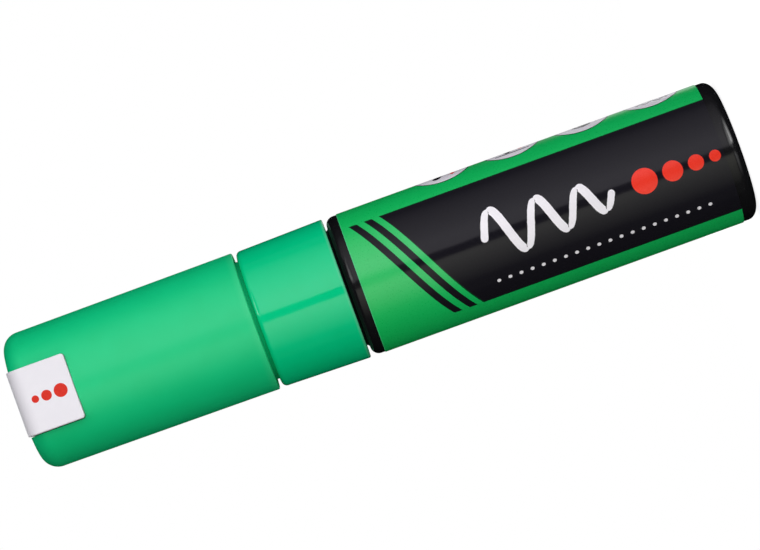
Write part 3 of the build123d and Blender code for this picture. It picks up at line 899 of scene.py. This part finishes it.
# Glint cards
# Cards seen only in the gloss of the pieces given, for short glints on tail, shoulder and collar and for a
# sheen on the back of the green pieces. Each is brightest along one side, halfway up.
card_distance = 0.3


def show_in_gloss_only(thing):
    """Hides a thing from all but glossy reflections."""
    thing.visible_camera = False
    thing.visible_diffuse = False
    thing.visible_transmission = False
    thing.visible_shadow = False


def add_card(name, pieces, height, turn, rise, spread, aside, brightness):
    """A card that faces a height on the axis, turned and raised by degrees from the camera's side.

    It covers an angle up and down, and reaches from one slope aside of that line to another.
    """
    facing = radians(turn) + camera_turn
    ahead = Vector((sin(facing), -cos(facing), 0))
    away = ahead * cos(radians(rise)) + Vector((0, 0, sin(radians(rise))))
    near, far = (card_distance * slope for slope in aside)
    half_height = card_distance * tan(radians(spread) / 2)
    corners = [(x, y, 0) for x, y in rectangle(near, -half_height, far, half_height)]
    card = add_mesh(name, corners, [(0, 1, 2, 3)])
    card.location = away * card_distance + Vector((0, 0, height))
    card.rotation_mode = "QUATERNION"
    card.rotation_quaternion = (-away).to_track_quat("-Z", "Y")
    material, tree, place = start_material(name + "_white")
    across = add_node(tree, "ShaderNodeSeparateXYZ", {"Vector": place})
    fade = remap(tree, across.outputs["X"], brightness, 0.0, start=near, end=far)
    from_middle = add_node(tree, "ShaderNodeMath", {0: across.outputs["Y"]}, operation="ABSOLUTE")
    soft_ends = remap(tree, from_middle.outputs[0], 1.0, 0.0, end=half_height)
    strength = add_node(tree, "ShaderNodeMath", {0: fade, 1: soft_ends}, operation="MULTIPLY")
    glow = add_node(tree, "ShaderNodeEmission", {"Strength": strength.outputs[0]})
    add_node(tree, "ShaderNodeOutputMaterial", {"Surface": glow.outputs["Emission"]})
    material.cycles.emission_sampling = "NONE"
    card.data.materials.append(material)
    show_in_gloss_only(card)
    shows_on = bpy.data.collections.new(name + "_shows_on")
    for piece in pieces:
        shows_on.objects.link(piece)
    card.light_linking.receiver_collection = shows_on


tail, shoulder, collar = (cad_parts[name] for name in ("tail_plug", "barrel", "front_holder"))
green_pieces = [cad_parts["cap_shell"], collar, printed_label]
add_card(
    "card_tail", [tail], height=0.001, turn=0, rise=-62, spread=52,
    aside=(0.13, 0.87), brightness=19.0,
)
add_card(
    "card_tail_soft", [tail], height=0.001, turn=0, rise=-40, spread=48,
    aside=(0.13, 0.87), brightness=8.5,
)
add_card(
    "card_tail_lower", [tail], height=0.001, turn=0, rise=-60, spread=50,
    aside=(-0.1, -0.7), brightness=3.0,
)
add_card(
    "card_shoulder", [shoulder], height=0.076, turn=0, rise=36, spread=40,
    aside=(0.14, 1.05), brightness=7.5,
)
add_card(
    "card_collar", [collar], height=0.095, turn=0, rise=54, spread=50,
    aside=(0.1, 0.7), brightness=11.0,
)
add_card(
    "card_behind", green_pieces, height=0.07, turn=165, rise=-28, spread=44,
    aside=(-0.3, 0.4), brightness=2.4,
)

# Flags and surroundings
# A black drum round everything, seen only in reflections, so that the gloss is dark between the banks.
# The white surround beyond it is seen by the camera and lights very little.
flag_diameter, flag_low, flag_high, flag_steps = 1.1, -1.1, 1.25, 64
surround_light = 0.15
flag_rim = disc((0, 0), flag_diameter, flag_steps)
flag_vertices = [(x, y, height) for height in (flag_low, flag_high) for x, y in flag_rim]
flags = add_mesh("flags", flag_vertices, closed_prism(0, flag_steps, 2))
# Black felt: no gloss, and almost no light
black_felt, tree, place = start_material("felt_black")
close_material(tree, {"Base Color": linear("#050505"), "Roughness": 1.0, "Specular IOR Level": 0.0})
flags.data.materials.append(black_felt)
show_in_gloss_only(flags)

world = bpy.data.worlds.new("white_surround")
world.use_nodes = True
tree = world.node_tree
tree.nodes.clear()
camera_ray = add_node(tree, "ShaderNodeLightPath").outputs["Is Camera Ray"]
strength = remap(tree, camera_ray, surround_light, 1.0)
surround = add_node(tree, "ShaderNodeBackground", {"Color": (1, 1, 1, 1), "Strength": strength})
add_node(tree, "ShaderNodeOutputWorld", {"Surface": surround.outputs["Background"]})
bpy.context.scene.world = world

# Camera
# Level with the marker's middle, on the tab's side, and rolled so that the marker lies across the picture.
# The picture is so many pixels wide, with so many millimetres to a pixel at the marker's axis.
photo_width = 760
photo_scale = 0.1886 * MM
camera_distance = 0.86
camera_height = 71.2 * MM
camera_aside = 0.2 * MM
camera_roll = radians(19.89)
sensor_width = 36
clip_near, clip_far = 0.01, 10
camera_data = bpy.data.cameras.new("camera")
camera_data.sensor_width = sensor_width
camera_data.lens = sensor_width * camera_distance / (photo_width * photo_scale)
camera_data.clip_start, camera_data.clip_end = clip_near, clip_far
camera = bpy.data.objects.new("camera", camera_data)
right = Vector((-sin(camera_roll), 0, -cos(camera_roll)))
up = Vector((cos(camera_roll), 0, -sin(camera_roll)))
back = Vector((0, -1, 0))
camera_place = Matrix.Translation((camera_aside, -camera_distance, camera_height))
camera_axes = Matrix((right, up, back)).transposed().to_4x4()
camera.matrix_world = Matrix.Rotation(camera_turn, 4, "Z") @ camera_place @ camera_axes
bpy.context.scene.collection.objects.link(camera)
bpy.context.scene.camera = camera
bpy.context.scene.view_settings.view_transform = "Standard"
